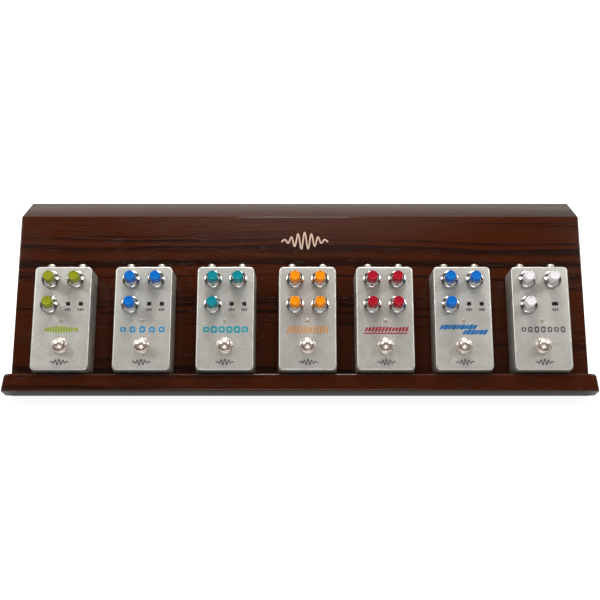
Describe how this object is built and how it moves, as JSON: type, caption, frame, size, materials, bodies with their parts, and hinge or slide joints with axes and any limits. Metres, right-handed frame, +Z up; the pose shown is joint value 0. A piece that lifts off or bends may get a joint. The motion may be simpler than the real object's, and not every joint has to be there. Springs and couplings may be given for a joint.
{
  "type": "pedalboard",
  "caption": "Sloping hardwood countertop pedalboard with a front ledge, holding a row of compact effect pedals with turning knobs, slide switches and footswitches.",
  "frame": {"origin": "centre of the footprint on the surface it stands on", "axes": "+X to the player's right along the row of pedals, +Y to the back, +Z up"},
  "size_m": [0.6046, 0.1906, 0.1617],
  "materials": {
    "wood": "satin lacquered dark striped hardwood",
    "enclosure": "fine hammered silver-grey enamel on die-cast aluminium",
    "base_plate": "painted steel plate with a bonded rubber pad",
    "knob_lime": "coloured cap on a bright metal skirt",
    "knob_blue": "coloured cap on a bright metal skirt",
    "knob_teal": "coloured cap on a bright metal skirt",
    "knob_orange": "coloured cap on a bright metal skirt",
    "knob_red": "coloured cap on a bright metal skirt",
    "knob_white": "coloured cap on a bright metal skirt",
    "plunger": "polished",
    "lever": "moulded"
  },
  "bodies": {
    "board": {"deck_panel": "wood", "top_panel": "wood", "back_panel": "wood", "bottom_panel": "wood", "left_side_panel": "wood", "right_side_panel": "wood", "front_ledge": "wood", "pedal1_enclosure": "enclosure", "pedal1_base_plate": "base_plate", "pedal2_enclosure": "enclosure", "pedal2_base_plate": "base_plate", "pedal3_enclosure": "enclosure", "pedal3_base_plate": "base_plate", "pedal4_enclosure": "enclosure", "pedal4_base_plate": "base_plate", "pedal5_enclosure": "enclosure", "pedal5_base_plate": "base_plate", "pedal6_enclosure": "enclosure", "pedal6_base_plate": "base_plate", "pedal7_enclosure": "enclosure", "pedal7_base_plate": "base_plate"},
    "pedal1_knob1": {"pedal1_knob1": "knob_lime"},
    "pedal1_knob2": {"pedal1_knob2": "knob_lime"},
    "pedal1_knob3": {"pedal1_knob3": "knob_lime"},
    "pedal1_footswitch": {"pedal1_footswitch": "plunger"},
    "pedal1_slider1": {"pedal1_slider1": "lever"},
    "pedal1_slider2": {"pedal1_slider2": "lever"},
    "pedal2_knob1": {"pedal2_knob1": "knob_blue"},
    "pedal2_knob2": {"pedal2_knob2": "knob_blue"},
    "pedal2_knob3": {"pedal2_knob3": "knob_blue"},
    "pedal2_footswitch": {"pedal2_footswitch": "plunger"},
    "pedal2_slider1": {"pedal2_slider1": "lever"},
    "pedal2_slider2": {"pedal2_slider2": "lever"},
    "pedal3_knob1": {"pedal3_knob1": "knob_teal"},
    "pedal3_knob2": {"pedal3_knob2": "knob_teal"},
    "pedal3_knob3": {"pedal3_knob3": "knob_teal"},
    "pedal3_footswitch": {"pedal3_footswitch": "plunger"},
    "pedal3_slider1": {"pedal3_slider1": "lever"},
    "pedal3_slider2": {"pedal3_slider2": "lever"},
    "pedal4_knob1": {"pedal4_knob1": "knob_orange"},
    "pedal4_knob2": {"pedal4_knob2": "knob_orange"},
    "pedal4_knob3": {"pedal4_knob3": "knob_orange"},
    "pedal4_knob4": {"pedal4_knob4": "knob_orange"},
    "pedal4_footswitch": {"pedal4_footswitch": "plunger"},
    "pedal5_knob1": {"pedal5_knob1": "knob_red"},
    "pedal5_knob2": {"pedal5_knob2": "knob_red"},
    "pedal5_knob3": {"pedal5_knob3": "knob_red"},
    "pedal5_knob4": {"pedal5_knob4": "knob_red"},
    "pedal5_footswitch": {"pedal5_footswitch": "plunger"},
    "pedal6_knob1": {"pedal6_knob1": "knob_blue"},
    "pedal6_knob2": {"pedal6_knob2": "knob_blue"},
    "pedal6_knob3": {"pedal6_knob3": "knob_blue"},
    "pedal6_footswitch": {"pedal6_footswitch": "plunger"},
    "pedal6_slider1": {"pedal6_slider1": "lever"},
    "pedal6_slider2": {"pedal6_slider2": "lever"},
    "pedal7_knob1": {"pedal7_knob1": "knob_white"},
    "pedal7_knob2": {"pedal7_knob2": "knob_white"},
    "pedal7_knob3": {"pedal7_knob3": "knob_white"},
    "pedal7_footswitch": {"pedal7_footswitch": "plunger"},
    "pedal7_slider1": {"pedal7_slider1": "lever"}
  },
  "joints": [
    {"name": "pedal1_knob1_turn", "type": "hinge", "parent": "board", "child": "pedal1_knob1", "pos_m": [-0.2553, -0.03577, 0.11484], "axis": [0, -0.8192, 0.5736], "range_deg": [-150, 150]},
    {"name": "pedal1_knob2_turn", "type": "hinge", "parent": "board", "child": "pedal1_knob2", "pos_m": [-0.2297, -0.03577, 0.11484], "axis": [0, -0.8192, 0.5736], "range_deg": [-150, 150]},
    {"name": "pedal1_knob3_turn", "type": "hinge", "parent": "board", "child": "pedal1_knob3", "pos_m": [-0.2553, -0.0512, 0.09281], "axis": [0, -0.8192, 0.5736], "range_deg": [-150, 150]},
    {"name": "pedal1_footswitch_press", "type": "slide", "parent": "board", "child": "pedal1_footswitch", "axis": [0, 0.8192, -0.5736], "range_m": [0, 0.0035], "stiffness_N_per_m": 1500, "springref_m": -0.001},
    {"name": "pedal1_slider1_throw", "type": "slide", "parent": "board", "child": "pedal1_slider1", "axis": [1, 0, 0], "range_m": [0, 0.002]},
    {"name": "pedal1_slider2_throw", "type": "slide", "parent": "board", "child": "pedal1_slider2", "axis": [1, 0, 0], "range_m": [-0.002, 0]},
    {"name": "pedal2_knob1_turn", "type": "hinge", "parent": "board", "child": "pedal2_knob1", "pos_m": [-0.1728, -0.03577, 0.11484], "axis": [0, -0.8192, 0.5736], "range_deg": [-150, 150]},
    {"name": "pedal2_knob2_turn", "type": "hinge", "parent": "board", "child": "pedal2_knob2", "pos_m": [-0.1472, -0.03577, 0.11484], "axis": [0, -0.8192, 0.5736], "range_deg": [-150, 150]},
    {"name": "pedal2_knob3_turn", "type": "hinge", "parent": "board", "child": "pedal2_knob3", "pos_m": [-0.1728, -0.0512, 0.09281], "axis": [0, -0.8192, 0.5736], "range_deg": [-150, 150]},
    {"name": "pedal2_footswitch_press", "type": "slide", "parent": "board", "child": "pedal2_footswitch", "axis": [0, 0.8192, -0.5736], "range_m": [0, 0.0035], "stiffness_N_per_m": 1500, "springref_m": -0.001},
    {"name": "pedal2_slider1_throw", "type": "slide", "parent": "board", "child": "pedal2_slider1", "axis": [1, 0, 0], "range_m": [0, 0.002]},
    {"name": "pedal2_slider2_throw", "type": "slide", "parent": "board", "child": "pedal2_slider2", "axis": [1, 0, 0], "range_m": [-0.002, 0]},
    {"name": "pedal3_knob1_turn", "type": "hinge", "parent": "board", "child": "pedal3_knob1", "pos_m": [-0.0888, -0.03577, 0.11484], "axis": [0, -0.8192, 0.5736], "range_deg": [-150, 150]},
    {"name": "pedal3_knob2_turn", "type": "hinge", "parent": "board", "child": "pedal3_knob2", "pos_m": [-0.0632, -0.03577, 0.11484], "axis": [0, -0.8192, 0.5736], "range_deg": [-150, 150]},
    {"name": "pedal3_knob3_turn", "type": "hinge", "parent": "board", "child": "pedal3_knob3", "pos_m": [-0.0888, -0.0512, 0.09281], "axis": [0, -0.8192, 0.5736], "range_deg": [-150, 150]},
    {"name": "pedal3_footswitch_press", "type": "slide", "parent": "board", "child": "pedal3_footswitch", "axis": [0, 0.8192, -0.5736], "range_m": [0, 0.0035], "stiffness_N_per_m": 1500, "springref_m": -0.001},
    {"name": "pedal3_slider1_throw", "type": "slide", "parent": "board", "child": "pedal3_slider1", "axis": [1, 0, 0], "range_m": [0, 0.002]},
    {"name": "pedal3_slider2_throw", "type": "slide", "parent": "board", "child": "pedal3_slider2", "axis": [1, 0, 0], "range_m": [-0.002, 0]},
    {"name": "pedal4_knob1_turn", "type": "hinge", "parent": "board", "child": "pedal4_knob1", "pos_m": [-0.0051, -0.03577, 0.11484], "axis": [0, -0.8192, 0.5736], "range_deg": [-150, 150]},
    {"name": "pedal4_knob2_turn", "type": "hinge", "parent": "board", "child": "pedal4_knob2", "pos_m": [0.0205, -0.03577, 0.11484], "axis": [0, -0.8192, 0.5736], "range_deg": [-150, 150]},
    {"name": "pedal4_knob3_turn", "type": "hinge", "parent": "board", "child": "pedal4_knob3", "pos_m": [-0.0051, -0.0512, 0.09281], "axis": [0, -0.8192, 0.5736], "range_deg": [-150, 150]},
    {"name": "pedal4_knob4_turn", "type": "hinge", "parent": "board", "child": "pedal4_knob4", "pos_m": [0.0205, -0.0512, 0.09281], "axis": [0, -0.8192, 0.5736], "range_deg": [-150, 150]},
    {"name": "pedal4_footswitch_press", "type": "slide", "parent": "board", "child": "pedal4_footswitch", "axis": [0, 0.8192, -0.5736], "range_m": [0, 0.0035], "stiffness_N_per_m": 1500, "springref_m": -0.001},
    {"name": "pedal5_knob1_turn", "type": "hinge", "parent": "board", "child": "pedal5_knob1", "pos_m": [0.0737, -0.03577, 0.11484], "axis": [0, -0.8192, 0.5736], "range_deg": [-150, 150]},
    {"name": "pedal5_knob2_turn", "type": "hinge", "parent": "board", "child": "pedal5_knob2", "pos_m": [0.0993, -0.03577, 0.11484], "axis": [0, -0.8192, 0.5736], "range_deg": [-150, 150]},
    {"name": "pedal5_knob3_turn", "type": "hinge", "parent": "board", "child": "pedal5_knob3", "pos_m": [0.0737, -0.0512, 0.09281], "axis": [0, -0.8192, 0.5736], "range_deg": [-150, 150]},
    {"name": "pedal5_knob4_turn", "type": "hinge", "parent": "board", "child": "pedal5_knob4", "pos_m": [0.0993, -0.0512, 0.09281], "axis": [0, -0.8192, 0.5736], "range_deg": [-150, 150]},
    {"name": "pedal5_footswitch_press", "type": "slide", "parent": "board", "child": "pedal5_footswitch", "axis": [0, 0.8192, -0.5736], "range_m": [0, 0.0035], "stiffness_N_per_m": 1500, "springref_m": -0.001},
    {"name": "pedal6_knob1_turn", "type": "hinge", "parent": "board", "child": "pedal6_knob1", "pos_m": [0.153, -0.03577, 0.11484], "axis": [0, -0.8192, 0.5736], "range_deg": [-150, 150]},
    {"name": "pedal6_knob2_turn", "type": "hinge", "parent": "board", "child": "pedal6_knob2", "pos_m": [0.1786, -0.03577, 0.11484], "axis": [0, -0.8192, 0.5736], "range_deg": [-150, 150]},
    {"name": "pedal6_knob3_turn", "type": "hinge", "parent": "board", "child": "pedal6_knob3", "pos_m": [0.153, -0.0512, 0.09281], "axis": [0, -0.8192, 0.5736], "range_deg": [-150, 150]},
    {"name": "pedal6_footswitch_press", "type": "slide", "parent": "board", "child": "pedal6_footswitch", "axis": [0, 0.8192, -0.5736], "range_m": [0, 0.0035], "stiffness_N_per_m": 1500, "springref_m": -0.001},
    {"name": "pedal6_slider1_throw", "type": "slide", "parent": "board", "child": "pedal6_slider1", "axis": [1, 0, 0], "range_m": [0, 0.002]},
    {"name": "pedal6_slider2_throw", "type": "slide", "parent": "board", "child": "pedal6_slider2", "axis": [1, 0, 0], "range_m": [-0.002, 0]},
    {"name": "pedal7_knob1_turn", "type": "hinge", "parent": "board", "child": "pedal7_knob1", "pos_m": [0.2327, -0.03577, 0.11484], "axis": [0, -0.8192, 0.5736], "range_deg": [-150, 150]},
    {"name": "pedal7_knob2_turn", "type": "hinge", "parent": "board", "child": "pedal7_knob2", "pos_m": [0.2583, -0.03577, 0.11484], "axis": [0, -0.8192, 0.5736], "range_deg": [-150, 150]},
    {"name": "pedal7_knob3_turn", "type": "hinge", "parent": "board", "child": "pedal7_knob3", "pos_m": [0.2327, -0.0512, 0.09281], "axis": [0, -0.8192, 0.5736], "range_deg": [-150, 150]},
    {"name": "pedal7_footswitch_press", "type": "slide", "parent": "board", "child": "pedal7_footswitch", "axis": [0, 0.8192, -0.5736], "range_m": [0, 0.0035], "stiffness_N_per_m": 1500, "springref_m": -0.001},
    {"name": "pedal7_slider1_throw", "type": "slide", "parent": "board", "child": "pedal7_slider1", "axis": [1, 0, 0], "range_m": [-0.002, 0.002]}
  ]
}
